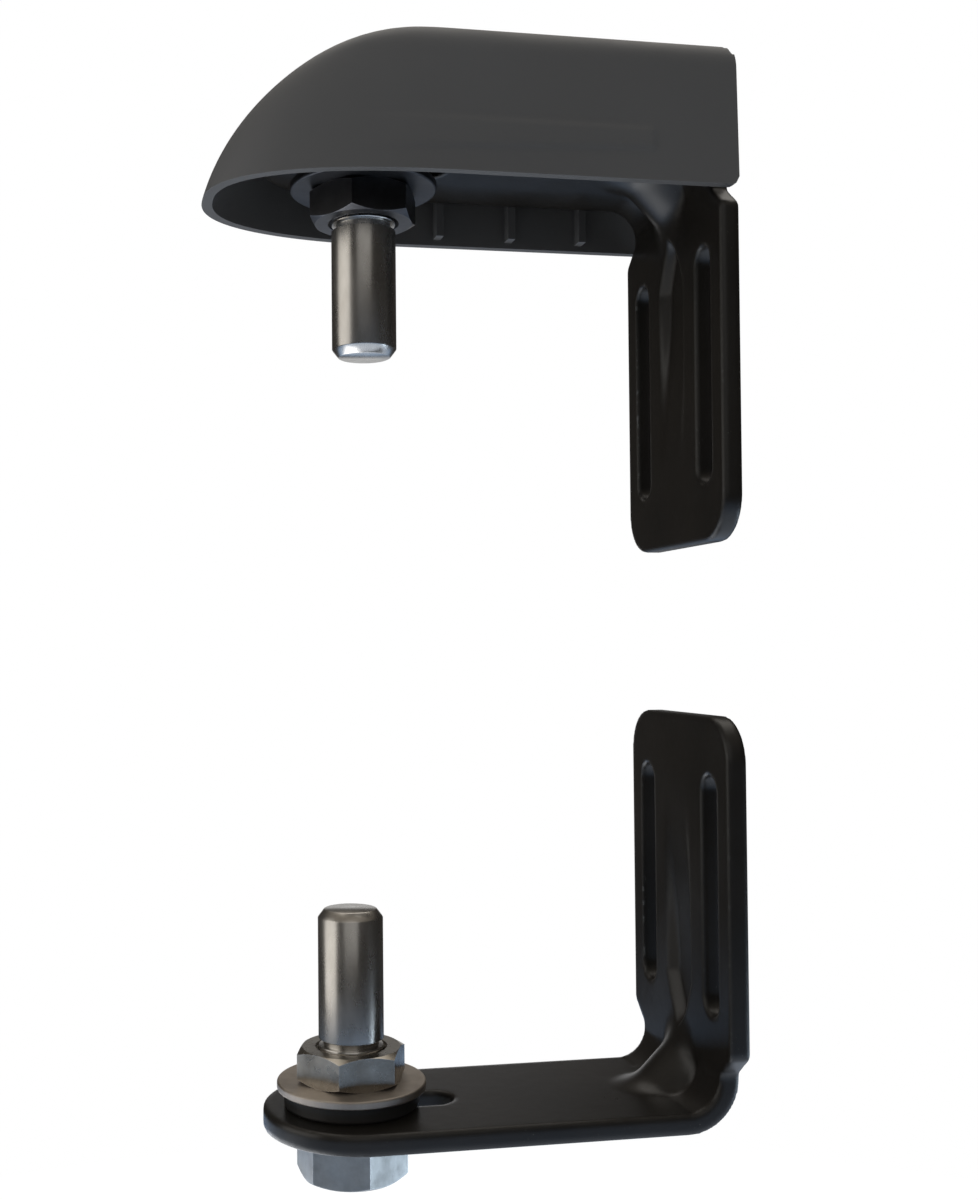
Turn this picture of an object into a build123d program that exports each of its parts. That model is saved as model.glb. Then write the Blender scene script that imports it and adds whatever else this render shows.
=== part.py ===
from build123d import *
import math
import os

# Adjustable gate hinge: a pair of bent steel brackets that bolt to a post, each with a
# screwed hinge pin that slides in a slot and turns up or down, so that the leaf can be
# set. The lower pin points up, the upper pin points down, and a moulded cover sits over
# the upper bracket. The pair is drawn close together, as a set, not a leaf's height apart.
#
# Millimetres, +Z up, +X into the post. The post's face is the plane X = 0 and the
# brackets are centred on the plane Y = 0. Z = 0 is the middle of the lower post slots.
#
# One hinge is drawn in its own frame: X = 0 on the post's face, Z = 0 on the face of the
# arm that the spacer bears on, and +Z towards the tip of the pin.

# Bracket: the arm carries the pin and the leg is bolted to the post
plate_thickness = 5.0
bend_inner_radius = 8.0
arm_width = 47.5
arm_reach = 111.6
leg_width = 59.5
leg_height = 94.0
leg_corner_radius = 11.0
neck_bend_gap = 0.063
neck_rise = 5.0
neck_corner_radius = 2.0
plate_edge_round = 0.7

# Slots for the post's bolts, along the leg, from the bearing face and from the leg's end
post_slot_width = 8.5
post_slot_spacing = 38.2
post_slot_foot = 21.6
post_slot_margin = 14.2

# Slot for the pin, along the arm
pin_slot_width = 10.2
pin_slot_length = 39.0
pin_slot_margin = 8.0

# Pressed groove between the post slots, deepest beside the bend
groove_tool_radius = 8.0
groove_depth = 2.6
groove_end_height = 30.0
groove_fade_margin = 16.0

# Pressed dart that stiffens the bend: raised inside, dented outside
dart_leg = 18.0
dart_radius = 9.0

# Hinge pin with a threaded foot, flattened to stand in the pin slot
pin_diameter = 16.0
pin_length = 33.0
pin_tip_bevel = 1.6
pin_tip_bevel_height = 2.0
pin_undercut_depth = 1.2
pin_undercut_height = 1.6
thread_diameter = 16.0
foot_bevel = 1.2
foot_proud = 0.8
pin_shoulder_gap = 0.4
flat_clearance = 0.1
flat_overrun = 0.1
thread_clearance = 0.05

# Nuts, washer and spacer
nut_across_flats = 24.0
lock_nut_height = 8.0
back_nut_height = 12.0
nut_bevel_degrees = 30.0
nut_bore_bevel = 0.8
washer_diameter = 36.5
washer_thickness = 2.0
washer_round = 0.5
spacer_diameter = 33.0
spacer_thickness = 4.0
spacer_round = 0.8
washer_bore_clearance = 0.5

# Where each pin stands along its slot, measured from the arm's tip
lower_pin_from_tip = 21.6
upper_pin_from_tip = 26.1

# How far each hexagon is turned about its pin, in degrees
lower_lock_turn = 8.0
lower_back_turn = -22.0
upper_lock_turn = -8.0
upper_back_turn = 14.0

# Distance between the ends of the two legs, as the set is drawn
leg_end_gap = 42.5

# Cover, an open-bottomed moulding over the upper arm
cover_side_gap = 4.25
cover_nose_gap = 13.9
cover_head_gap = 5.7
cover_nose_radius = 50.0
cover_nose_stretch = 1.3
cover_rim_drop = 8.5
cover_corner_radius = 2.0
cover_shoulder_radius = 8.0
cover_wall = 2.5
cover_draft_degrees = 2.0
cover_post_gap = 0.3

# Raised pad on each side of the cover, left bare
pad_length = 78.0
pad_height = 10.0
pad_proud = 0.5
pad_corner_radius = 4.0
pad_start = 22.0
pad_middle = -2.0

# Ribs inside the cover that rest on the arm and hold it sideways
rib_thickness = 2.0
rib_clearance = 0.15
rib_shoulder = 2.5
rib_rise = 10.0
rib_first = 20.0
rib_pitch = 20.0
rib_count = 3
rib_rim_gap = 1.5

# How far a cut runs past what it cuts, and how closely an edge's place is matched
cut_margin = 5.0
match = 0.01

# Values that follow from the ones above
bend_outer_radius = bend_inner_radius + plate_thickness
arm_end_centre = arm_reach - arm_width / 2
post_slot_length = leg_height - post_slot_margin - post_slot_foot
post_slot_middle = post_slot_foot + post_slot_length / 2
groove_fade_height = leg_height - groove_fade_margin
bearing_face_gap = 2 * leg_height + leg_end_gap
pin_slot_middle = arm_reach - pin_slot_margin - pin_slot_length / 2
lower_pin_offset = arm_reach - lower_pin_from_tip
upper_pin_offset = arm_reach - upper_pin_from_tip
stack_height = spacer_thickness + washer_thickness + lock_nut_height
pin_base = stack_height + pin_shoulder_gap
foot_end = -plate_thickness - back_nut_height - foot_proud
flat_width = pin_slot_width - 2 * flat_clearance
nut_bore_radius = thread_diameter / 2 + thread_clearance
washer_bore_radius = thread_diameter / 2 + washer_bore_clearance
nut_corner_radius = nut_across_flats / 2 / math.cos(math.pi / 6)
neck_turn = math.atan2((leg_width - arm_width) / 2, neck_rise)
neck_height = bend_inner_radius + neck_bend_gap + neck_corner_radius * math.tan(neck_turn / 2)
neck_top = neck_height + neck_rise
cover_width = arm_width + 2 * (cover_side_gap + cover_wall)
cover_nose_reach = arm_reach + cover_nose_gap
cover_rise = cover_wall + cover_head_gap - foot_end


def sheet_profile():
    """The side view of the bent sheet, as local X and Y for world X and Z."""
    inner_x = -plate_thickness
    corner_x = inner_x - bend_inner_radius
    with BuildSketch() as profile:
        with BuildLine():
            Polyline(
                (-bend_outer_radius, -plate_thickness),
                (-arm_reach, -plate_thickness),
                (-arm_reach, 0),
                (corner_x, 0),
            )
            CenterArc((corner_x, bend_inner_radius), bend_inner_radius, -90, 90)
            Polyline(
                (inner_x, bend_inner_radius),
                (inner_x, leg_height),
                (0, leg_height),
                (0, bend_inner_radius),
            )
            CenterArc((corner_x, bend_inner_radius), bend_outer_radius, -90, 90)
        make_face()
    return profile.sketch


def leg_outline():
    """The leg seen from the post: a narrow neck that widens above the bend."""
    neck = arm_width / 2
    wide = leg_width / 2
    below = -plate_thickness - cut_margin
    outline = Polygon(
        (-neck, below),
        (neck, below),
        (neck, neck_height),
        (wide, neck_top),
        (wide, leg_height),
        (-wide, leg_height),
        (-wide, neck_top),
        (-neck, neck_height),
        align=None,
    )
    ends = outline.vertices().group_by(Axis.Y)
    outline = fillet(ends[-1], leg_corner_radius)
    steps = [v for v in outline.vertices() if neck_height - match < v.Y < neck_top + match]
    return fillet(steps, neck_corner_radius)


def arm_outline():
    """The arm seen from above, with its round end, and the leg's full width behind it."""
    arm = Pos(-arm_end_centre / 2, 0) * Rectangle(arm_end_centre, arm_width)
    end = Pos(-arm_end_centre, 0) * Circle(arm_width / 2)
    leg = Pos(-plate_thickness / 2, 0) * Rectangle(plate_thickness, leg_width)
    return arm + end + leg


def sheet_blank():
    """The bent sheet with its outline, before any hole or pressing."""
    sheet = extrude(Plane.XZ * sheet_profile(), leg_width / 2, both=True)
    across_leg = extrude(Plane.YZ * leg_outline(), 2 * arm_reach, both=True)
    across_arm = extrude(arm_outline(), 2 * leg_height, both=True)
    return sheet & across_leg & across_arm


def rim_edges(body):
    """The long edges round the sheet's outline, on both of its faces."""
    found = []
    for edge in body.edges():
        size = edge.bounding_box().size
        middle = edge.center()
        along_x = size.Y < match and size.Z < match
        along_y = size.X < match and size.Z < match
        along_z = size.X < match and size.Y < match
        through_arm = along_z and edge.length < plate_thickness + match
        through_leg = along_x and middle.X > -bend_outer_radius
        bend_line = along_y and middle.Z < neck_height
        bend_end = size.Y < match and abs(size.X - size.Z) < match and edge.length < bend_inner_radius
        if not (through_arm or through_leg or bend_line or bend_end):
            found.append(edge)
    return found


def groove_tool():
    """A round-nosed bar, tilted so that its cut fades out towards the leg's end."""
    run = groove_fade_height - groove_end_height
    tilt = math.degrees(math.atan2(groove_depth, run))
    bar = Cylinder(groove_tool_radius, 2 * run, align=(Align.CENTER, Align.CENTER, Align.MIN))
    start_x = -plate_thickness - groove_tool_radius + groove_depth
    return Pos(start_x, 0, groove_end_height) * Rot(0, -tilt, 0) * (bar + Sphere(groove_tool_radius))


def dart_frame():
    """A plane across the dart: local X is world Y and local Y leads out of the bend."""
    ridge = dart_leg / math.sqrt(2)
    axis_offset = (ridge - dart_radius) / math.sqrt(2)
    origin = (-plate_thickness - axis_offset, 0, axis_offset)
    return Plane(origin=origin, x_dir=(0, 1, 0), z_dir=(-1, 0, -1))


def dart_rise():
    """The raised side of the dart, kept to the inner side of the sheet."""
    bar = dart_frame() * Cylinder(dart_radius, 4 * dart_leg)
    middle = plate_thickness / 2
    span = 2 * dart_leg
    inside = Pos(-middle - span / 2, 0, span / 2 - middle) * Box(span, 2 * dart_radius, span)
    return bar & inside


def dart_dent():
    """The dented side of the dart, one sheet thickness away from the raised side."""
    inner_radius = dart_radius - plate_thickness
    reach = 3 * dart_leg
    throat = Pos(0, reach / 2) * Rectangle(2 * inner_radius, reach)
    return extrude(dart_frame() * (Circle(inner_radius) + throat), 2 * dart_leg, both=True)


def bracket():
    """One bent bracket with its slots, groove and dart."""
    body = sheet_blank()
    body = fillet(rim_edges(body), plate_edge_round)
    body += dart_rise()
    body -= dart_dent()
    body -= groove_tool()
    post_slot = extrude(Plane.YZ * Rot(0, 0, 90) * SlotOverall(post_slot_length, post_slot_width),
                        2 * plate_thickness, both=True)
    for side in (-1, 1):
        body -= Pos(0, side * post_slot_spacing / 2, post_slot_middle) * post_slot
    pin_slot = extrude(SlotOverall(pin_slot_length, pin_slot_width), 2 * plate_thickness, both=True)
    body -= Pos(-pin_slot_middle, 0, 0) * pin_slot
    return body


def turned(*points):
    """A turned solid from (radius, height) points."""
    return revolve(Plane.XZ * Polygon(*points, align=None), Axis.Z)


def hinge_pin():
    """The pin, its undercut and its threaded foot with two flats."""
    pin_r = pin_diameter / 2
    foot_r = thread_diameter / 2
    tip = pin_base + pin_length
    neck_r = pin_r - pin_undercut_depth
    undercut_top = pin_base + pin_undercut_height
    body = turned(
        (0, foot_end),
        (foot_r - foot_bevel, foot_end),
        (foot_r, foot_end + foot_bevel),
        (foot_r, pin_base),
        (neck_r, pin_base),
        (neck_r, undercut_top),
        (pin_r, undercut_top),
        (pin_r, tip - pin_tip_bevel_height),
        (pin_r - pin_tip_bevel, tip),
        (0, tip),
    )
    flat_run = flat_overrun - foot_end
    for side in (-1, 1):
        centre = (0, side * (flat_width + pin_diameter) / 2, foot_end + flat_run / 2)
        body -= Pos(*centre) * Box(2 * pin_diameter, pin_diameter, flat_run)
    return body


def hex_nut(height, turn):
    """A plain hexagon nut, bevelled on both faces, standing on Z = 0."""
    face_radius = nut_across_flats / 2
    drop = (nut_corner_radius - face_radius) * math.tan(math.radians(nut_bevel_degrees))
    mouth = nut_bore_radius + nut_bore_bevel
    blank = extrude(Rot(0, 0, turn) * RegularPolygon(nut_corner_radius, 6), height)
    bevelled = turned(
        (0, 0),
        (face_radius, 0),
        (nut_corner_radius, drop),
        (nut_corner_radius, height - drop),
        (face_radius, height),
        (0, height),
    )
    bore = turned(
        (0, 0),
        (mouth, 0),
        (nut_bore_radius, nut_bore_bevel),
        (nut_bore_radius, height - nut_bore_bevel),
        (mouth, height),
        (0, height),
    )
    return (blank & bevelled) - bore


def ring(diameter, thickness, edge_round):
    """A flat ring with rounded outer edges, standing on Z = 0."""
    disc = extrude(Circle(diameter / 2), thickness)
    disc = fillet(disc.edges().filter_by(GeomType.CIRCLE), edge_round)
    return disc - extrude(Circle(washer_bore_radius), thickness)


def cover_half_width(z, inset):
    """The cover's half width at one height, drawn in by the inset."""
    draft = math.tan(math.radians(cover_draft_degrees))
    shoulder_z = cover_shoulder_radius - cover_rise
    if z >= shoulder_z:
        return cover_width / 2 - draft * (cover_rim_drop - z) - inset
    shoulder_y = cover_width / 2 - draft * (cover_rim_drop - shoulder_z) - cover_shoulder_radius
    radius = cover_shoulder_radius - inset
    return shoulder_y + math.sqrt(max(radius ** 2 - (shoulder_z - z) ** 2, 0))


def cover_nose(z, inset):
    """Where the cover's nose ends at one height, drawn in by the inset."""
    arc_z = cover_nose_radius - cover_rise
    rim_run = math.sqrt(cover_nose_radius ** 2 - (cover_rim_drop - arc_z) ** 2)
    radius = cover_nose_radius - inset
    return rim_run - cover_nose_reach - math.sqrt(radius ** 2 - (z - arc_z) ** 2)


def cover_level(z, inset):
    """A level slice through the cover, open towards the post past its end."""
    half = cover_half_width(z, inset)
    nose_length = cover_nose_stretch * half
    centre_x = cover_nose(z, inset) + nose_length
    with BuildSketch(Plane.XY.offset(z)) as level:
        with BuildLine():
            EllipticalCenterArc((centre_x, 0), nose_length, half, start_angle=90, arc_size=180)
            Polyline(
                (centre_x, -half),
                (cut_margin, -half),
                (cut_margin, half),
                (centre_x, half),
            )
        make_face()
    return level.sketch


def cover_form(inset):
    """The cover's outer form, or its inside when the inset is the wall."""
    shoulder_z = cover_shoulder_radius - cover_rise
    side_steps = 4
    crown_steps = 4
    side_step = (shoulder_z - cover_rim_drop) / side_steps
    heights = [cover_rim_drop + side_step * n for n in range(side_steps + 1)]
    for n in range(1, crown_steps + 1):
        turn = math.pi / 2 * n / crown_steps
        heights.append(shoulder_z - (cover_shoulder_radius - inset) * math.sin(turn))
    return loft([cover_level(z, inset) for z in heights])


def cover_pads():
    """The raised pads, as a slightly larger cover kept to two rounded windows."""
    middle_x = -pad_start - pad_length / 2
    window = Pos(middle_x, pad_middle) * RectangleRounded(pad_length, pad_height, pad_corner_radius)
    return cover_form(-pad_proud) & extrude(Plane.XZ * window, cover_width, both=True)


def cover_rib(side):
    """One stepped rib: its foot stands beside the arm and its shoulder lies on the arm."""
    edge = arm_width / 2
    low = cover_rim_drop - rib_rim_gap
    foot = Polygon(
        (edge + rib_clearance, low),
        (edge + rib_clearance, -plate_thickness),
        (edge - rib_shoulder, -plate_thickness),
        (edge - rib_shoulder, -plate_thickness - rib_rise),
        (cover_width, -plate_thickness - rib_rise),
        (cover_width, low),
        align=None,
    )
    rib = extrude(Plane.YZ * foot, rib_thickness / 2, both=True)
    return rib if side > 0 else mirror(rib, Plane.XZ)


def cover_side_view():
    """The side view that trims the cover short of the post, with a rounded lower corner."""
    length = cover_nose_reach + cut_margin
    height = cover_rise + cut_margin + cover_rim_drop
    view = Pos(-cover_post_gap - length / 2, cover_rim_drop - height / 2) * Rectangle(length, height)
    corner = view.vertices().sort_by(lambda v: v.X + v.Y)[-1]
    return fillet(corner, cover_corner_radius)


def cover():
    """The moulded cover with its ribs and pads, open below and towards the post."""
    inside = cover_form(cover_wall)
    mouth = extrude(cover_level(cover_rim_drop, cover_wall), cut_margin)
    shell = cover_form(0) + cover_pads() - inside - mouth
    keep = cover_form(cover_wall / 2)
    for n in range(rib_count):
        for side in (-1, 1):
            rib = Pos(-rib_first - n * rib_pitch, 0, 0) * cover_rib(side)
            shell += rib & keep
    return shell & extrude(Plane.XZ * cover_side_view(), cover_width, both=True)


def lower(shape):
    """From a hinge's own frame to the lower hinge's place."""
    return Pos(0, 0, -post_slot_middle) * shape


def upper(shape):
    """From a hinge's own frame to the upper hinge's place, turned over."""
    return Pos(0, 0, bearing_face_gap - post_slot_middle) * Rot(180, 0, 0) * shape


def hinge_set(place, pin_offset, lock_turn, back_turn):
    """The moving hardware of one hinge, at its pin's place along the slot."""
    on_pin = Pos(-pin_offset, 0, 0)
    washer = Pos(0, 0, spacer_thickness) * ring(washer_diameter, washer_thickness, washer_round)
    lock = Pos(0, 0, spacer_thickness + washer_thickness) * hex_nut(lock_nut_height, lock_turn)
    back = Pos(0, 0, -plate_thickness - back_nut_height) * hex_nut(back_nut_height, back_turn)
    return {
        "spacer": place(on_pin * ring(spacer_diameter, spacer_thickness, spacer_round)),
        "washer": place(on_pin * washer),
        "lock_nut": place(on_pin * lock),
        "back_nut": place(on_pin * back),
        "hinge_pin": place(on_pin * hinge_pin()),
    }


bent_plate = bracket()
pieces = {
    "lower_bracket": lower(bent_plate),
    "upper_bracket": upper(bent_plate),
    "upper_cover": upper(cover()),
}
for name, piece in hinge_set(lower, lower_pin_offset, lower_lock_turn, lower_back_turn).items():
    pieces["lower_" + name] = piece
for name, piece in hinge_set(upper, upper_pin_offset, upper_lock_turn, upper_back_turn).items():
    pieces["upper_" + name] = piece

os.makedirs("parts", exist_ok=True)
for name, piece in pieces.items():
    export_step(piece, "parts/" + name + ".step")
    print(name, round(piece.volume), len(piece.solids()), len(piece.faces()), piece.is_valid)
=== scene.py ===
import math

import bmesh
import bpy
from mathutils import Matrix, Vector


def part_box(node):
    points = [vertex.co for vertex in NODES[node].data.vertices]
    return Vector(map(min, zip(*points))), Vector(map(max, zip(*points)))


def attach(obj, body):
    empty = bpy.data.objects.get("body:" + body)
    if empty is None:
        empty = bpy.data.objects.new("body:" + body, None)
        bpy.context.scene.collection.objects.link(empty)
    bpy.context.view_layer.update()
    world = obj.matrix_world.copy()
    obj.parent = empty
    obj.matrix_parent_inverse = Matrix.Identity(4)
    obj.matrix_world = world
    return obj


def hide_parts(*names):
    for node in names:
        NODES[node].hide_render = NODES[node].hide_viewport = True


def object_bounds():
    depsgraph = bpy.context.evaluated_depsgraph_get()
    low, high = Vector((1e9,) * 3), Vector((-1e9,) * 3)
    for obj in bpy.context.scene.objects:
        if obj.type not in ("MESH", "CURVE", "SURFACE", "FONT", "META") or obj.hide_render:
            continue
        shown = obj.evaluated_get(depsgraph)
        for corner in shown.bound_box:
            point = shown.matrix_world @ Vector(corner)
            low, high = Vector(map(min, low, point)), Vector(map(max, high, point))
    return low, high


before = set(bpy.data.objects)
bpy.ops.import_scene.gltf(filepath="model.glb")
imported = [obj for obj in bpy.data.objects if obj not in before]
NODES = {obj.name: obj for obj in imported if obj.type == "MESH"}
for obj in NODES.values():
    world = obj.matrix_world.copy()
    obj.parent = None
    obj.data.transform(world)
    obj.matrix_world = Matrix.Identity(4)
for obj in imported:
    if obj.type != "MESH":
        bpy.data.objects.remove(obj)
cad_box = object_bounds()

MM = 0.001
HINGES = ("lower", "upper")

# The photograph's frame in pixels, and the camera that was solved for it, in metres and degrees
IMAGE_WIDTH = 978
IMAGE_HEIGHT = 1200
CAMERA_PLACE = (-0.14773, -0.33211, 0.06024)
CAMERA_YAW = 9.57
CAMERA_PITCH = 1.26
CAMERA_ROLL = -0.40
FOCAL_PIXELS = 1367.4
PRINCIPAL_X = 341.3
PRINCIPAL_Y = 619.1
SENSOR_MM = 36.0

# The room: what diffuse light meets, what metal mirrors, and the pale floor below. The spreads
# are the cosine of the angle from the backdrop's heading, and the ceiling's height in the sky.
LAMP_TARGET = Vector((-0.06, 0.0, 0.07))
BACKDROP_HEADING = (0.17, 0.985, -0.02)
ROOM_FILL = (0.44, 0.44, 0.44, 1)
ROOM_DIM = (0.038, 0.035, 0.032, 1)
ROOM_CEILING = (0.28, 0.25, 0.21, 1)
BACKDROP_SPREAD = (0.955, 0.995)
CEILING_SPREAD = (0.45, 0.90)
FLOOR_REACH = 1.1
FLOOR_FADE = (0.45, 0.85)
FLOOR_SIDES = 48
FLOOR_DROP = 0.30
FLOOR_GLOW = 0.72
# The floor's bluish glow as reflections see it: a painted reflection of light from below
FLOOR_SHEEN = (0.34, 0.48, 0.70, 1)

# The lamps: place and size in metres, power in watts, colour
LAMPS = {
    "key_left": ((-1.25, -0.10, 0.30), 1.1, 4.6, (1.0, 0.97, 0.92)),
    "front": ((-0.30, -1.50, 0.90), 1.6, 3.4, (1.0, 0.99, 0.97)),
    "low_right": ((0.62, -0.12, -0.42), 0.42, 3.2, (0.70, 0.85, 1.0)),
    "above": ((0.10, 0.40, 1.30), 1.2, 5.0, (1.0, 0.96, 0.90)),
    "below": ((-0.22, 0.10, -0.34), 0.5, 1.6, (1.0, 1.0, 1.0)),
}

# Sizes of the sheet that the brackets are bent from
PLATE = 5.0 * MM
ARM_HALF = 23.75 * MM
BEND_RADIUS = 8.0 * MM

# Sizes of the cover, in the hinge's frame: z runs from the arm's bearing face to the pin's tip
COVER_WIDTH = 61.0 * MM
COVER_REACH = 125.5 * MM
COVER_RISE = 26.0 * MM
COVER_RIM_DROP = 10.0 * MM
COVER_WALL = 2.5 * MM
COVER_DRAFT_DEGREES = 2.0
COVER_SHOULDER_RADIUS = 8.0 * MM
COVER_NOSE_RADIUS = 50.0 * MM
COVER_NOSE_LENGTH = 60.0 * MM
COVER_RIM_POWER = 2.45
COVER_CROWN_POWER = 4.5
COVER_POST_GAP = 0.3 * MM
COVER_RIM_CORNER = 2.0 * MM
COVER_CROWN_CORNER = 4.0 * MM
PAD_NEAR = 20.5 * MM
PAD_FAR = 100.0 * MM
PAD_FULL = 60.0 * MM
PAD_RISE = 3.0 * MM
PAD_NEAR_DROP = 3.2 * MM
PAD_FAR_DROP = 6.4 * MM
PAD_PROUD = 0.55 * MM
PAD_RAMP = 1.4 * MM
RIB_PLACES = (20.0 * MM, 40.0 * MM, 60.0 * MM)
RIB_HALF = 1.0 * MM
RIB_CLEARANCE = 0.15 * MM
RIB_SHOULDER = 2.5 * MM
RIB_RISE = 10.0 * MM
RIB_RIM_GAP = 1.5 * MM
COVER_STRAIGHT_STEPS = 80
COVER_NOSE_STEPS = 96
COVER_SIDE_STEPS = 40
COVER_CROWN_STEPS = 12
COVER_ARC_Z = COVER_NOSE_RADIUS - COVER_RISE
COVER_ARC_RUN = math.sqrt(COVER_NOSE_RADIUS ** 2 - (COVER_RIM_DROP - COVER_ARC_Z) ** 2)
COVER_SHOULDER_Z = COVER_SHOULDER_RADIUS - COVER_RISE
WELD = 0.005 * MM

# The even mesh of a bracket, and the part of it that the dart and the groove reshape
GRAIN = 0.6 * MM
PRESS_HALF = 14.4 * MM
PRESS_DEPTH = 0.7 * PLATE
PRESS_TURNS = 5
PRESS_RELAX = 0.5
FLAT_REACH = 0.4 * MM

# Which side of the sheet a vertex is on, from the lean of its normal out of the corner
INNER_LEAN = 0.15
STEEP_LEAN = -0.5
STEEP_Y = 6.0 * MM
LEG_LEAN = -0.3
FLAT_LEAN = 0.97

# Sizes of the dart and the groove, measured from the bracket's inner corner
DART_ZONE = 20.0 * MM
DART_LEG = 13.0 * MM
DART_RADIUS = 10.5 * MM
DART_BLEND = 4.6 * MM
GROOVE_HALF = 8.0 * MM
GROOVE_DEPTH = 2.4 * MM
GROOVE_RAMP = 4.0 * MM
GROOVE_POINT = 14.0 * MM
GROOVE_FULL = 27.0 * MM
GROOVE_FADE = 76.0 * MM
GROOVE_ZONE = 88.0 * MM

# Sizes of one hinge pin, from its foot to its tip
PIN_RADIUS = 8.0 * MM
PIN_CORE_RADIUS = 6.9 * MM
PIN_LENGTH = 65.2 * MM
FOOT_LENGTH = 32.2 * MM
FLAT_HALF = 5.0 * MM
FLAT_LENGTH = 17.9 * MM
FOOT_BEVEL = 1.2 * MM
UNDERCUT_DEPTH = 1.2 * MM
UNDERCUT_HEIGHT = 1.6 * MM
TIP_BEVEL = 1.6 * MM
TIP_BEVEL_HEIGHT = 2.0 * MM
PIN_CORNER = 0.15 * MM
PIN_SIDES = 96
THREAD_PITCH = 2.0 * MM
THREAD_FLANK = 2.6
THREAD_ROOT = 0.8
THREAD_RUN_OUT = 1.5
THREAD_STEPS = 10


def camera():
    """The camera at the photograph's place, with the shift that its framing needs."""
    yaw = math.radians(CAMERA_YAW)
    pitch = math.radians(CAMERA_PITCH)
    roll = math.radians(CAMERA_ROLL)
    ahead = Vector((
        math.sin(yaw) * math.cos(pitch), math.cos(yaw) * math.cos(pitch), math.sin(pitch)))
    level = Vector((math.cos(yaw), -math.sin(yaw), 0))
    over = level.cross(ahead)
    right = level * math.cos(roll) + over * math.sin(roll)
    up = over * math.cos(roll) - level * math.sin(roll)
    data = bpy.data.cameras.new("camera")
    data.sensor_width = SENSOR_MM
    data.lens = FOCAL_PIXELS * SENSOR_MM / IMAGE_HEIGHT
    data.shift_x = (IMAGE_WIDTH / 2 - PRINCIPAL_X) / IMAGE_HEIGHT
    data.shift_y = (PRINCIPAL_Y - IMAGE_HEIGHT / 2) / IMAGE_HEIGHT
    data.clip_start = 0.01
    obj = bpy.data.objects.new("camera", data)
    turn = Matrix((right, up, -ahead)).transposed()
    obj.matrix_world = Matrix.Translation(CAMERA_PLACE) @ turn.to_4x4()
    bpy.context.scene.collection.objects.link(obj)
    bpy.context.scene.camera = obj


class Shader:
    """A small helper that builds one node material."""

    def __init__(self, name):
        self.material = bpy.data.materials.new(name)
        self.material.use_nodes = True
        self.start(self.material.node_tree, "ShaderNodeOutputMaterial")
        self.place = self.node("ShaderNodeTexCoord").outputs["Object"]

    def start(self, tree, output):
        self.tree = tree
        tree.nodes.clear()
        self.output = self.node(output)

    @classmethod
    def on_tree(cls, tree, output):
        """The same helper for a tree that isn't a material's."""
        made = cls.__new__(cls)
        made.start(tree, output)
        return made

    def node(self, kind, **settings):
        made = self.tree.nodes.new(kind)
        for key, value in settings.items():
            setattr(made, key, value)
        return made

    def put(self, value, socket):
        """Sets a socket to a plain value, or links it to another socket."""
        if isinstance(value, bpy.types.NodeSocket):
            self.tree.links.new(value, socket)
        else:
            socket.default_value = value

    def scaled(self, x, y, z):
        """The place in the object, stretched along each axis."""
        made = self.node("ShaderNodeMapping")
        self.put(self.place, made.inputs["Vector"])
        made.inputs["Scale"].default_value = (x, y, z)
        return made.outputs["Vector"]

    def noise(self, scale, detail=3.0, rough=0.5, vector=None):
        made = self.node("ShaderNodeTexNoise")
        self.put(self.place if vector is None else vector, made.inputs["Vector"])
        made.inputs["Scale"].default_value = scale
        made.inputs["Detail"].default_value = detail
        made.inputs["Roughness"].default_value = rough
        return made.outputs["Fac"]

    def cells(self, scale, vector=None):
        """The distance to the nearest of many scattered points."""
        made = self.node("ShaderNodeTexVoronoi")
        self.put(self.place if vector is None else vector, made.inputs["Vector"])
        made.inputs["Scale"].default_value = scale
        return made.outputs["Distance"]

    def fit(self, value, low, high, out_low=0.0, out_high=1.0):
        """A value brought from one range to another and kept inside it."""
        made = self.node("ShaderNodeMapRange")
        self.put(value, made.inputs["Value"])
        made.inputs["From Min"].default_value = low
        made.inputs["From Max"].default_value = high
        made.inputs["To Min"].default_value = out_low
        made.inputs["To Max"].default_value = out_high
        return made.outputs["Result"]

    def math(self, kind, a, b=0.0):
        made = self.node("ShaderNodeMath", operation=kind)
        self.put(a, made.inputs[0])
        self.put(b, made.inputs[1])
        return made.outputs["Value"]

    def mix(self, factor, a, b):
        """A colour between two others."""
        made = self.node("ShaderNodeMix", data_type="RGBA")
        self.put(factor, made.inputs["Factor"])
        self.put(a, made.inputs["A"])
        self.put(b, made.inputs["B"])
        return made.outputs["Result"]

    def bump(self, height, strength, distance, normal=None):
        made = self.node("ShaderNodeBump")
        self.put(height, made.inputs["Height"])
        made.inputs["Strength"].default_value = strength
        made.inputs["Distance"].default_value = distance
        if normal is not None:
            self.put(normal, made.inputs["Normal"])
        return made.outputs["Normal"]

    def rounded(self, radius):
        """The normal as it would be with every edge rounded off."""
        made = self.node("ShaderNodeBevel", samples=6)
        made.inputs["Radius"].default_value = radius
        return made.outputs["Normal"]

    def edge(self, radius):
        """Nearly 1 along sharp edges and 0 on open faces."""
        rounded = self.node("ShaderNodeBevel", samples=4)
        rounded.inputs["Radius"].default_value = radius
        plain = self.node("ShaderNodeNewGeometry").outputs["Normal"]
        dot = self.node("ShaderNodeVectorMath", operation="DOT_PRODUCT")
        self.put(rounded.outputs["Normal"], dot.inputs[0])
        self.put(plain, dot.inputs[1])
        return self.fit(dot.outputs["Value"], 0.98, 0.80)

    def finish(self, colour, roughness, metallic=0.0, normal=None, specular=0.5, anisotropy=0.0):
        made = self.node("ShaderNodeBsdfPrincipled")
        self.put(colour, made.inputs["Base Color"])
        self.put(roughness, made.inputs["Roughness"])
        made.inputs["Metallic"].default_value = metallic
        made.inputs["Specular IOR Level"].default_value = specular
        made.inputs["Anisotropic"].default_value = anisotropy
        if normal is not None:
            self.put(normal, made.inputs["Normal"])
        self.put(made.outputs["BSDF"], self.output.inputs["Surface"])
        return self.material


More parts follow.
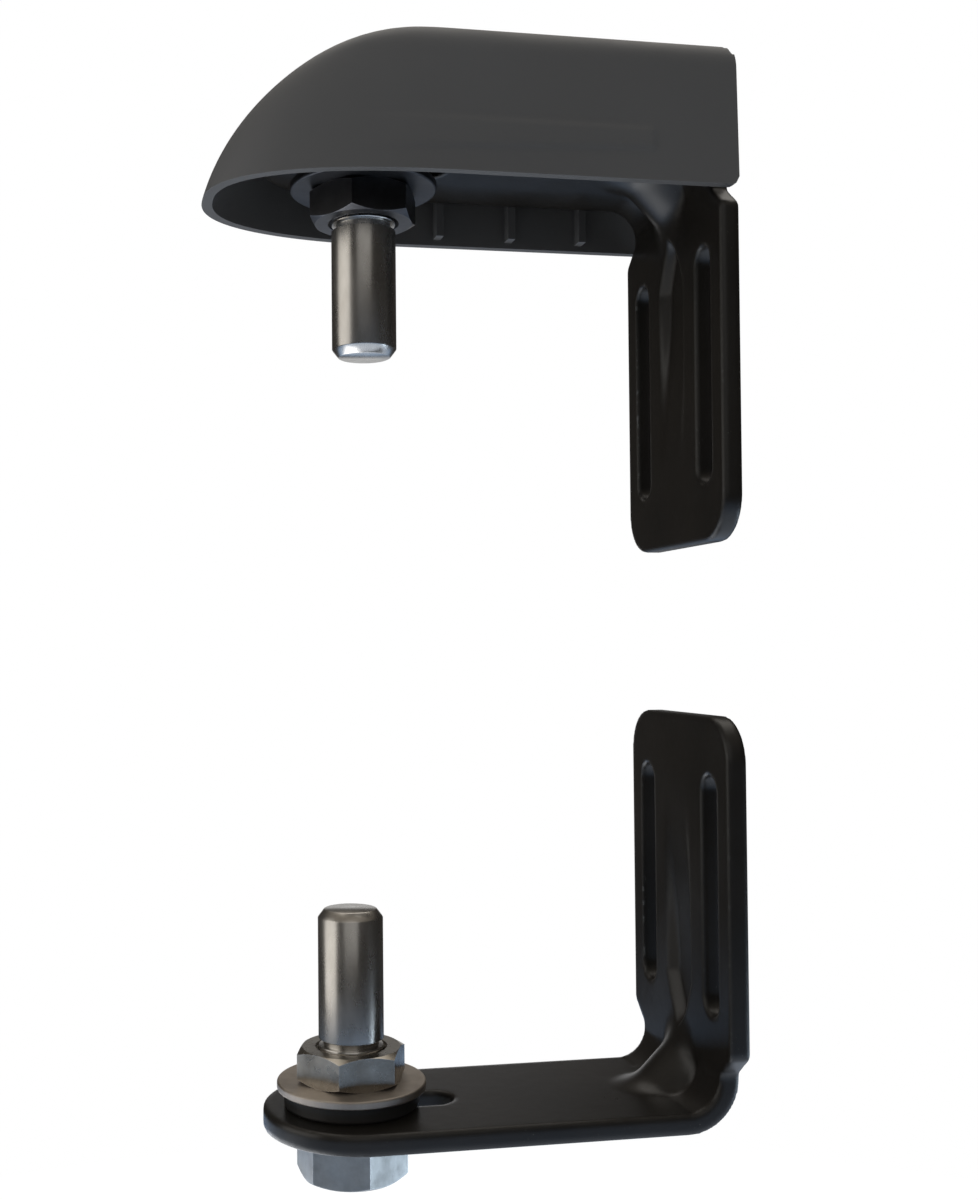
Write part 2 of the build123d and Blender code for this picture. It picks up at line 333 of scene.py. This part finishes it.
def powder_coat():
    """Semi-gloss black powder coat: orange peel, faint warm mottling, worn edges and dust."""
    s = Shader("black_powder_coat")
    mottle = s.fit(s.noise(28.0, 4.0, 0.6), 0.30, 0.72)
    coat = s.mix(mottle, (0.0062, 0.0054, 0.0045, 1), (0.0125, 0.0104, 0.0082, 1))
    worn = s.math("MULTIPLY", s.edge(0.9 * MM), s.fit(s.noise(520.0, 2.0), 0.60, 0.70))
    coat = s.mix(worn, coat, (0.16, 0.17, 0.18, 1))
    specks = s.fit(s.cells(900.0), 0.16, 0.10)
    specks = s.math("MULTIPLY", specks, s.fit(s.noise(160.0, 2.0), 0.60, 0.72))
    coat = s.mix(specks, coat, (0.060, 0.058, 0.054, 1))
    roughness = s.fit(s.noise(45.0, 5.0, 0.65), 0.25, 0.75, 0.26, 0.40)
    peel = s.bump(s.noise(420.0, 2.0, 0.4), 0.10, 0.20 * MM, s.rounded(1.6 * MM))
    grain = s.bump(s.noise(2600.0, 2.0, 0.5), 0.06, 0.05 * MM, peel)
    return s.finish(coat, roughness, normal=grain, specular=0.45)


def cover_plastic():
    """Matt charcoal moulding with a very fine spark-eroded grain."""
    s = Shader("cover_plastic")
    drift = s.fit(s.noise(14.0, 3.0, 0.5), 0.3, 0.7)
    tone = s.mix(drift, (0.076, 0.077, 0.079, 1), (0.086, 0.087, 0.089, 1))
    # Painted highlight: every edge of the cover is lightened evenly
    painted_edge_highlight = s.math("MULTIPLY", s.edge(0.7 * MM), 0.35)
    tone = s.mix(painted_edge_highlight, tone, (0.12, 0.125, 0.13, 1))
    roughness = s.fit(s.noise(60.0, 4.0, 0.6), 0.3, 0.7, 0.50, 0.60)
    grain = s.bump(s.noise(3200.0, 3.0, 0.6), 0.16, 0.06 * MM)
    grain = s.bump(s.noise(1100.0, 2.0, 0.5), 0.07, 0.10 * MM, grain)
    return s.finish(tone, roughness, normal=grain, specular=0.4)


def spacer_plastic():
    """Black plastic, faintly turned. The spacer seats the washer, and its near-black is also
    painted shade: it fills the shade under the washer.
    """
    s = Shader("spacer_plastic")
    drift = s.fit(s.noise(90.0), 0.3, 0.7)
    tone = s.mix(drift, (0.006, 0.006, 0.006, 1), (0.012, 0.011, 0.010, 1))
    roughness = s.fit(s.noise(140.0, 3.0), 0.3, 0.7, 0.42, 0.56)
    rings = s.bump(s.noise(900.0, 2.0, 0.5, s.scaled(0.2, 0.2, 3.0)), 0.15, 0.05 * MM)
    return s.finish(tone, roughness, normal=rings)


def turned_steel(name, light, dark, rough_low, rough_high):
    """Turned steel: fine rings round the axis, soft stains and a few scratches."""
    s = Shader(name)
    stain = s.fit(s.noise(70.0, 5.0, 0.65, s.scaled(1.0, 1.0, 0.35)), 0.32, 0.70)
    tone = s.mix(stain, light, dark)
    rings = s.noise(1500.0, 3.0, 0.6, s.scaled(0.05, 0.05, 2.4))
    tone = s.mix(s.fit(rings, 0.62, 0.80, 0.0, 0.35), tone, dark)
    wear = s.noise(120.0, 4.0, 0.6, s.scaled(1.0, 1.0, 0.4))
    roughness = s.fit(wear, 0.25, 0.75, rough_low, rough_high)
    normal = s.bump(rings, 0.10, 0.05 * MM)
    normal = s.bump(s.noise(700.0, 2.0, 0.5), 0.05, 0.06 * MM, normal)
    return s.finish(tone, roughness, metallic=1.0, normal=normal)


def pressed_steel(name, light, dark, edge, rough_low, rough_high, grain=0.14):
    """Pressed or plated steel: cloudy tone, fine grain and edges painted lighter as a highlight.
    """
    s = Shader(name)
    cloud = s.fit(s.noise(110.0, 5.0, 0.65), 0.30, 0.72)
    tone = s.mix(cloud, light, dark)
    # Painted highlight: every edge is lightened evenly towards the edge colour
    tone = s.mix(s.math("MULTIPLY", s.edge(0.6 * MM), 0.6), tone, edge)
    roughness = s.fit(s.noise(160.0, 4.0, 0.6), 0.25, 0.75, rough_low, rough_high)
    normal = s.bump(s.noise(1500.0, 3.0, 0.6), grain, 0.06 * MM)
    return s.finish(tone, roughness, metallic=1.0, normal=normal)


def cover_half(z, inset):
    """The cover's half width at one height, drawn in by the inset."""
    draft = math.tan(math.radians(COVER_DRAFT_DEGREES))
    if z >= COVER_SHOULDER_Z:
        return COVER_WIDTH / 2 - draft * (COVER_RIM_DROP - z) - inset
    side_y = COVER_WIDTH / 2 - draft * (COVER_RIM_DROP - COVER_SHOULDER_Z)
    shoulder_y = side_y - COVER_SHOULDER_RADIUS
    radius = COVER_SHOULDER_RADIUS - inset
    return shoulder_y + math.sqrt(max(radius ** 2 - (COVER_SHOULDER_Z - z) ** 2, 0))


def cover_outline(z, inset):
    """One level of the cover from the post round its nose and back, as (x, y) pairs."""
    half = cover_half(z, inset)
    radius = COVER_NOSE_RADIUS - inset
    nose_x = COVER_ARC_RUN - COVER_REACH - math.sqrt(max(radius ** 2 - (z - COVER_ARC_Z) ** 2, 0))
    start_x = COVER_NOSE_LENGTH - COVER_REACH
    length = start_x - nose_x
    lost = COVER_NOSE_LENGTH - inset - length
    power = COVER_RIM_POWER + (COVER_CROWN_POWER - COVER_RIM_POWER) * lost / COVER_ARC_RUN
    points = []
    for n in range(COVER_STRAIGHT_STEPS):
        x = -COVER_POST_GAP + (start_x + COVER_POST_GAP) * n / COVER_STRAIGHT_STEPS
        points.append((x, half))
    for n in range(COVER_NOSE_STEPS + 1):
        turn = math.pi * n / COVER_NOSE_STEPS
        along = math.sin(turn) ** (2 / power) if 0 < n < COVER_NOSE_STEPS else 0.0
        across = math.copysign(abs(math.cos(turn)) ** (2 / power), math.cos(turn))
        points.append((start_x - length * along, half * across))
    return points + [(x, -y) for x, y in reversed(points[:COVER_STRAIGHT_STEPS])]


def ease(value):
    """A smooth step from 0 to 1."""
    value = min(max(value, 0.0), 1.0)
    return value * value * (3 - 2 * value)


def pad_lift(x, z):
    """How far the pad stands out at one place: it fades out towards the nose."""
    share = (-x - PAD_NEAR) / (PAD_FAR - PAD_NEAR)
    drop = PAD_NEAR_DROP + (PAD_FAR_DROP - PAD_NEAR_DROP) * share
    inside = ease((-x - PAD_NEAR) / PAD_RAMP) * ease((PAD_FAR + x) / (PAD_FAR - PAD_FULL))
    return PAD_PROUD * inside * ease((z + PAD_RISE) / PAD_RAMP) * ease((drop - z) / PAD_RAMP)


def soft_max(a, b, blend):
    """The larger of two heights, with a rounded corner where they meet."""
    near = max(blend - abs(a - b), 0.0) / blend
    return max(a, b) + near * near * blend / 4


def bent_height(q, radius):
    """The height of a plain rounded corner of a bent sheet over its diagonal."""
    reach = radius / math.sqrt(2)
    middle = BEND_RADIUS * math.sqrt(2)
    if abs(q) <= reach:
        return middle - math.sqrt(radius ** 2 - q ** 2)
    return middle - reach - (reach - abs(q))


def dart_height(y, radius):
    """The height of the dart's round back over the corner's diagonal."""
    if abs(y) >= radius:
        return -DART_ZONE
    return DART_LEG / math.sqrt(2) - DART_RADIUS + math.sqrt(radius ** 2 - y ** 2)


def groove_depth(w, y):
    """How deep the pressed groove is at one place of the leg: pointed below, fading above."""
    rise = min(max((w - GROOVE_POINT) / (GROOVE_FULL - GROOVE_POINT), 0.0), 1.0)
    half = GROOVE_HALF * rise ** 0.65
    if abs(y) >= half:
        return 0.0
    fade = ease((GROOVE_FADE - w) / (GROOVE_FADE - GROOVE_FULL))
    return GROOVE_DEPTH * fade * ease((half - abs(y)) / GROOVE_RAMP)


def pressed(u, y, w, nu, ny, nw):
    """A vertex set on the pressed sheet. u and w lead away from the inner faces of leg and arm."""
    lean = (nu + nw) / math.sqrt(2)
    middle = bent_height((w - u) / math.sqrt(2), BEND_RADIUS + PLATE / 2)
    steep = lean > STEEP_LEAN and abs(y) > STEEP_Y
    inner = lean > INNER_LEAN or (steep and (u + w) / math.sqrt(2) > middle)
    if abs(y) < PRESS_HALF and u < DART_ZONE and w < DART_ZONE:
        plain_u = u + groove_depth(w, y) if inner else u
        q = (w - plain_u) / math.sqrt(2)
        radius = BEND_RADIUS if inner else BEND_RADIUS + PLATE
        back = DART_RADIUS if inner else DART_RADIUS - PLATE
        p = soft_max(bent_height(q, radius), dart_height(y, back), DART_BLEND)
        u, w = (p - q) / math.sqrt(2), (p + q) / math.sqrt(2)
        return (u - groove_depth(w, y) if inner else u), y, w
    on_leg = nu > LEG_LEAN and -PRESS_DEPTH < u < BEND_RADIUS
    if on_leg and abs(y) < PRESS_HALF and w < GROOVE_ZONE:
        return -groove_depth(w, y), y, w
    for face in (0.0, -PLATE):
        if abs(nu) > FLAT_LEAN and abs(u - face) < FLAT_REACH:
            return face, y, w
        if abs(nw) > FLAT_LEAN and abs(w - face) < FLAT_REACH:
            return u, y, face
    return u, y, w


def even_mesh(name, source):
    """A node's shape on a fine even mesh, in the shared frame."""
    work = bpy.data.objects.new(name, source.data.copy())
    work.matrix_world = source.matrix_world
    bpy.context.scene.collection.objects.link(work)
    even = work.modifiers.new("even", "REMESH")
    even.mode = "VOXEL"
    even.voxel_size = GRAIN
    graph = bpy.context.evaluated_depsgraph_get()
    mesh = bpy.data.meshes.new_from_object(work.evaluated_get(graph))
    bpy.data.objects.remove(work)
    mesh.transform(source.matrix_world)
    return mesh


def pressed_bracket(name, node, up, material):
    """A bracket with its dart and groove as soft as pressing leaves them."""
    low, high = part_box(node)
    corner_x = high.x - PLATE
    corner_z = low.z + PLATE if up > 0 else high.z - PLATE
    mesh = even_mesh(name, NODES[node])
    edit = bmesh.new()
    edit.from_mesh(mesh)
    zone = []
    for vert in edit.verts:
        u, w = corner_x - vert.co.x, up * (vert.co.z - corner_z)
        across = abs(vert.co.y) < PRESS_HALF - GRAIN
        if across and u < DART_ZONE - GRAIN and w < GROOVE_ZONE - GRAIN:
            zone.append(vert)
    for turn in range(PRESS_TURNS):
        if turn:
            bmesh.ops.smooth_vert(
                edit, verts=zone, factor=PRESS_RELAX,
                use_axis_x=True, use_axis_y=True, use_axis_z=True)
        edit.normal_update()
        for vert in edit.verts if turn == 0 else zone:
            u, w = corner_x - vert.co.x, up * (vert.co.z - corner_z)
            u, y, w = pressed(u, vert.co.y, w, -vert.normal.x, vert.normal.y, up * vert.normal.z)
            vert.co = (corner_x - u, y, corner_z + up * w)
    edit.to_mesh(mesh)
    edit.free()
    mesh.materials.clear()
    mesh.materials.append(material)
    obj = bpy.data.objects.new(name, mesh)
    bpy.context.scene.collection.objects.link(obj)
    smooth(obj, 50.0)
    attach(obj, "post_brackets")
    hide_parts(node)


def corner_cut(x, radius):
    """How much a rounded corner at the post end takes off at one place."""
    run = max(x + COVER_POST_GAP + radius, 0.0)
    return radius - math.sqrt(max(radius ** 2 - run ** 2, 0))


def cover_rings(inset):
    """The cover's levels from its rim to its crown, as rings of places in the hinge's frame."""
    heights = []
    for n in range(COVER_SIDE_STEPS + 1):
        heights.append(COVER_RIM_DROP + (COVER_SHOULDER_Z - COVER_RIM_DROP) * n / COVER_SIDE_STEPS)
    for n in range(1, COVER_CROWN_STEPS + 1):
        turn = math.pi / 2 * n / COVER_CROWN_STEPS
        heights.append(COVER_SHOULDER_Z - (COVER_SHOULDER_RADIUS - inset) * math.sin(turn))
    rings = []
    for z in heights:
        ring = []
        for x, y in cover_outline(z, inset):
            rim_z = COVER_RIM_DROP - corner_cut(x, COVER_RIM_CORNER)
            crown_z = inset + corner_cut(x, COVER_CROWN_CORNER) - COVER_RISE
            lift = pad_lift(x, z) if inset == 0 else 0.0
            ring.append((x, y + math.copysign(lift, y), max(min(z, rim_z), crown_z)))
        rings.append(ring)
    return rings


def cover_ribs():
    """The stepped ribs that stand beside the arm and lie on it, as outlines across the cover."""
    low = COVER_RIM_DROP - RIB_RIM_GAP
    high = -PLATE - RIB_RISE
    middle = COVER_WALL / 2
    outline = [
        (ARM_HALF + RIB_CLEARANCE, low),
        (ARM_HALF + RIB_CLEARANCE, -PLATE),
        (ARM_HALF - RIB_SHOULDER, -PLATE),
        (ARM_HALF - RIB_SHOULDER, high),
        (cover_half(high, middle), high),
        (cover_half(low, middle), low),
    ]
    solids = []
    for place in RIB_PLACES:
        for side in (1, -1):
            front = [(-place - RIB_HALF, side * y, z) for y, z in outline]
            back = [(-place + RIB_HALF, side * y, z) for y, z in outline]
            solids.append((front, back))
    return solids


def shell_faces(count, levels):
    """The faces of an outer and an inner set of rings, closed over the crown and at the edges."""
    base = levels * count
    faces = []
    for r in range(levels - 1):
        for k in range(count - 1):
            a = r * count + k
            faces.append((a, a + 1, a + count + 1, a + count))
            faces.append((base + a, base + a + count, base + a + count + 1, base + a + 1))
    top = (levels - 1) * count
    for k in range(count // 2):
        a, b = top + k, top + count - 1 - k
        if b - a > 2:
            faces.append((a, a + 1, b - 1, b))
            faces.append((base + a, base + b, base + b - 1, base + a + 1))
    for k in range(count - 1):
        faces.append((k, base + k, base + k + 1, k + 1))
    for r in range(levels - 1):
        for k in (0, count - 1):
            a = r * count + k
            quad = (a, a + count, base + a + count, base + a)
            faces.append(quad if k == 0 else quad[::-1])
    faces.append((top, top + count - 1, base + top + count - 1, base + top))
    return faces


def prism_faces(first, sides):
    """The faces of a prism whose two ends follow each other in the list of places."""
    second = first + sides
    faces = [tuple(range(first, second)), tuple(range(second, second + sides))[::-1]]
    for k in range(sides):
        j = (k + 1) % sides
        faces.append((first + k, second + k, second + j, first + j))
    return faces


def cover(material):
    """The moulded cover: an even shell, open below and towards the post, with pads and ribs."""
    face_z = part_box("upper_bracket")[1].z - PLATE
    outer = cover_rings(0.0)
    inner = cover_rings(COVER_WALL)
    places = [place for ring in outer + inner for place in ring]
    faces = shell_faces(len(outer[0]), len(outer))
    for front, back in cover_ribs():
        faces += prism_faces(len(places), len(front))
        places += front + back
    points = [(x, y, face_z - z) for x, y, z in places]
    obj = add_mesh("upper_cover_shell", points, faces, material)
    edit = bmesh.new()
    edit.from_mesh(obj.data)
    bmesh.ops.remove_doubles(edit, verts=edit.verts, dist=WELD)
    bmesh.ops.recalc_face_normals(edit, faces=edit.faces)
    edit.to_mesh(obj.data)
    edit.free()
    smooth(obj, 35.0)
    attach(obj, "cover")
    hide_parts("upper_cover")


def pin_profile():
    """The plain part of a pin above its thread: (radius, height above the foot) pairs."""
    neck = PIN_RADIUS - UNDERCUT_DEPTH
    return [
        (PIN_RADIUS - PIN_CORNER, FOOT_LENGTH),
        (neck, FOOT_LENGTH + PIN_CORNER),
        (neck, FOOT_LENGTH + UNDERCUT_HEIGHT - PIN_CORNER),
        (PIN_RADIUS - PIN_CORNER, FOOT_LENGTH + UNDERCUT_HEIGHT),
        (PIN_RADIUS, FOOT_LENGTH + UNDERCUT_HEIGHT + PIN_CORNER),
        (PIN_RADIUS, PIN_LENGTH - TIP_BEVEL_HEIGHT - PIN_CORNER),
        (PIN_RADIUS - PIN_CORNER, PIN_LENGTH - TIP_BEVEL_HEIGHT + PIN_CORNER),
        (PIN_RADIUS - TIP_BEVEL + PIN_CORNER, PIN_LENGTH - PIN_CORNER),
        (PIN_RADIUS - TIP_BEVEL - PIN_CORNER, PIN_LENGTH),
    ]


def thread_radius(height, turn):
    """The thread's radius at one height and angle, run out at both ends."""
    phase = (height / THREAD_PITCH - turn) % 1.0
    wave = min(max(THREAD_FLANK * abs(2 * phase - 1) - THREAD_ROOT, 0.0), 1.0)
    radius = PIN_CORE_RADIUS + (PIN_RADIUS - PIN_CORE_RADIUS) * wave
    bevel = PIN_RADIUS - max(FOOT_BEVEL - height, 0.0)
    run_out = (FOOT_LENGTH - height) / (THREAD_RUN_OUT * THREAD_PITCH)
    if run_out < 1:
        radius = PIN_RADIUS - (PIN_RADIUS - radius) * max(run_out, 0.0)
    return min(radius, bevel)


def hinge_pin(name, node, body, up, material):
    """A turned pin with a real thread on its foot and two flats that stand in the slot."""
    low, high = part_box(node)
    centre_x = (low.x + high.x) / 2
    centre_y = (low.y + high.y) / 2
    foot_z = low.z if up > 0 else high.z
    sides = PIN_SIDES
    steps = round(FOOT_LENGTH / THREAD_PITCH * THREAD_STEPS)
    rings = []
    for n in range(steps):
        height = FOOT_LENGTH * n / steps
        ring = []
        for k in range(sides):
            turn = k / sides
            radius = thread_radius(height, turn)
            x = radius * math.cos(2 * math.pi * turn)
            y = radius * math.sin(2 * math.pi * turn)
            if height < FLAT_LENGTH:
                y = min(max(y, -FLAT_HALF), FLAT_HALF)
            ring.append((x, y, height))
        rings.append(ring)
    for radius, height in pin_profile():
        ring = []
        for k in range(sides):
            turn = 2 * math.pi * k / sides
            ring.append((radius * math.cos(turn), radius * math.sin(turn), height))
        rings.append(ring)
    points = []
    for ring in rings:
        for x, y, z in ring:
            points.append((centre_x + x, centre_y + up * y, foot_z + up * z))
    faces = [tuple(range(sides))[::-1]]
    for r in range(len(rings) - 1):
        for k in range(sides):
            a = r * sides + k
            b = r * sides + (k + 1) % sides
            faces.append((a, b, b + sides, a + sides))
    last = (len(rings) - 1) * sides
    faces.append(tuple(range(last, last + sides)))
    obj = add_mesh(name, points, faces, material)
    smooth(obj, 40.0)
    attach(obj, body)
    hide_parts(node)


def smooth(obj, degrees):
    """Smooth shading with edges kept sharp beyond an angle."""
    mesh = obj.data
    mesh.shade_smooth()
    edit = bmesh.new()
    edit.from_mesh(mesh)
    limit = math.radians(degrees)
    for edge in edit.edges:
        if len(edge.link_faces) == 2:
            edge.smooth = edge.calc_face_angle(0.0) < limit
    edit.to_mesh(mesh)
    edit.free()


def add_mesh(name, points, faces, material):
    mesh = bpy.data.meshes.new(name)
    mesh.from_pydata(points, [], faces)
    mesh.validate()
    mesh.materials.append(material)
    obj = bpy.data.objects.new(name, mesh)
    bpy.context.scene.collection.objects.link(obj)
    return obj


def surround():
    """A white surround for the camera. Metal sees it too, and a dim room in front and beside."""
    world = bpy.data.worlds.new("world")
    bpy.context.scene.world = world
    world.use_nodes = True
    s = Shader.on_tree(world.node_tree, "ShaderNodeOutputWorld")
    path = s.node("ShaderNodeLightPath")
    heading = s.node("ShaderNodeTexCoord").outputs["Generated"]
    split = s.node("ShaderNodeSeparateXYZ")
    s.put(heading, split.inputs[0])
    behind = s.node("ShaderNodeVectorMath", operation="DOT_PRODUCT")
    s.put(heading, behind.inputs[0])
    behind.inputs[1].default_value = BACKDROP_HEADING
    backdrop = s.fit(behind.outputs["Value"], *BACKDROP_SPREAD)
    ceiling = s.fit(split.outputs["Z"], *CEILING_SPREAD)
    shiny = s.math("MAXIMUM", path.outputs["Is Glossy Ray"], path.outputs["Is Transmission Ray"])
    room = s.mix(ceiling, ROOM_DIM, ROOM_CEILING)
    room = s.mix(backdrop, room, (1, 1, 1, 1))
    tone = s.mix(shiny, ROOM_FILL, room)
    tone = s.mix(path.outputs["Is Camera Ray"], tone, (1, 1, 1, 1))
    light = s.node("ShaderNodeBackground")
    s.put(tone, light.inputs["Color"])
    s.put(light.outputs["Background"], s.output.inputs["Surface"])


def floor():
    """A pale floor well below the set. It keeps a soft shadow and fades to white at its rim."""
    s = Shader("floor")
    reach = s.node("ShaderNodeVectorMath", operation="LENGTH")
    s.put(s.place, reach.inputs[0])
    rim = s.fit(reach.outputs["Value"], FLOOR_FADE[0] * FLOOR_REACH, FLOOR_FADE[1] * FLOOR_REACH)
    path = s.node("ShaderNodeLightPath")
    shiny = s.math("MAXIMUM", path.outputs["Is Glossy Ray"], path.outputs["Is Transmission Ray"])
    seen = s.math("MAXIMUM", path.outputs["Is Camera Ray"], shiny)
    mottle = s.fit(s.noise(3.0, 2.0), 0.3, 0.7)
    paper = s.mix(mottle, (0.80, 0.80, 0.80, 1), (0.79, 0.79, 0.79, 1))
    diffuse = s.node("ShaderNodeBsdfDiffuse")
    s.put(s.mix(rim, paper, (0, 0, 0, 1)), diffuse.inputs["Color"])
    # Camera rays see the floor white. Reflections see it glow bluish, a painted light from below
    glow = s.node("ShaderNodeEmission")
    s.put(s.mix(path.outputs["Is Camera Ray"], FLOOR_SHEEN, (1, 1, 1, 1)), glow.inputs["Color"])
    strength = s.fit(rim, 0.0, 1.0, FLOOR_GLOW, 1.0)
    s.put(s.math("MULTIPLY", seen, strength), glow.inputs["Strength"])
    both = s.node("ShaderNodeAddShader")
    s.put(diffuse.outputs["BSDF"], both.inputs[0])
    s.put(glow.outputs["Emission"], both.inputs[1])
    s.put(both.outputs["Shader"], s.output.inputs["Surface"])
    z = cad_box[0][2] - FLOOR_DROP
    sides = FLOOR_SIDES
    ring = []
    for n in range(sides):
        turn = 2 * math.pi * n / sides
        ring.append((FLOOR_REACH * math.cos(turn), FLOOR_REACH * math.sin(turn), z))
    add_mesh("floor", ring, [tuple(range(sides))], s.material)


def lamp(name, place, size, power, colour):
    """A soft square lamp that looks at the middle of the set."""
    data = bpy.data.lights.new(name, "AREA")
    data.shape = "SQUARE"
    data.size = size
    data.energy = power
    data.color = colour
    obj = bpy.data.objects.new(name, data)
    obj.location = place
    obj.rotation_euler = (LAMP_TARGET - Vector(place)).to_track_quat("-Z", "Y").to_euler()
    obj.visible_camera = False
    bpy.context.scene.collection.objects.link(obj)


def studio():
    """The floor, the surround and plain soft lamps."""
    surround()
    floor()
    for name, (place, size, power, colour) in LAMPS.items():
        lamp(name, place, size, power, colour)


def dress(node, material):
    """Gives a CAD node its finish and keeps its shape."""
    mesh = NODES[node].data
    mesh.materials.clear()
    mesh.materials.append(material)


bpy.context.scene.view_settings.view_transform = "Standard"
camera()
studio()

coat = powder_coat()
plastic = cover_plastic()
# The spacer under each washer: black plastic that also stands in for the shade beneath the washer
# (painted shade)
spacer_black_and_painted_shade = spacer_plastic()
pin_steel = turned_steel("pin_steel", (0.60, 0.58, 0.55, 1), (0.36, 0.34, 0.31, 1), 0.22, 0.34)
nut_steel = pressed_steel(
    "nut_steel", (0.46, 0.43, 0.38, 1), (0.25, 0.22, 0.18, 1), (0.66, 0.64, 0.60, 1), 0.22, 0.34)
# The upper lock nut's steel painted much darker than the lower one: painted shade from the cover
# above it, with its edges painted lighter as a highlight
nut_steel_painted_shade = pressed_steel(
    "nut_steel_painted_shade", (0.085, 0.085, 0.090, 1), (0.050, 0.050, 0.052, 1), (0.16, 0.16, 0.17, 1),
    0.34, 0.48)
washer_steel = turned_steel(
    "washer_steel", (0.54, 0.49, 0.44, 1), (0.34, 0.30, 0.26, 1), 0.44, 0.58)
# The upper washer's steel painted much darker than the lower one: painted shade from the cover
# above it
washer_steel_painted_shade = turned_steel(
    "washer_steel_painted_shade", (0.070, 0.070, 0.074, 1), (0.040, 0.040, 0.042, 1), 0.40, 0.54)
zinc_steel = pressed_steel(
    "zinc_steel", (0.34, 0.34, 0.33, 1), (0.20, 0.20, 0.19, 1), (0.58, 0.59, 0.59, 1),
    0.32, 0.46, 0.24)

dress("upper_cover", plastic)
for hinge in HINGES:
    dress(hinge + "_bracket", coat)
    dress(hinge + "_spacer", spacer_black_and_painted_shade)
    dress(hinge + "_back_nut", zinc_steel)
    dress(hinge + "_hinge_pin", pin_steel)
dress("lower_washer", washer_steel)
dress("lower_lock_nut", nut_steel)
# The upper washer and lock nut take the darker copies: painted shade under the cover
dress("upper_washer", washer_steel_painted_shade)
dress("upper_lock_nut", nut_steel_painted_shade)
cover(plastic)
pressed_bracket("lower_pressed_bracket", "lower_bracket", 1, coat)
pressed_bracket("upper_pressed_bracket", "upper_bracket", -1, coat)
hinge_pin("lower_turned_pin", "lower_hinge_pin", "lower_pin", 1, pin_steel)
hinge_pin("upper_turned_pin", "upper_hinge_pin", "upper_pin", -1, pin_steel)
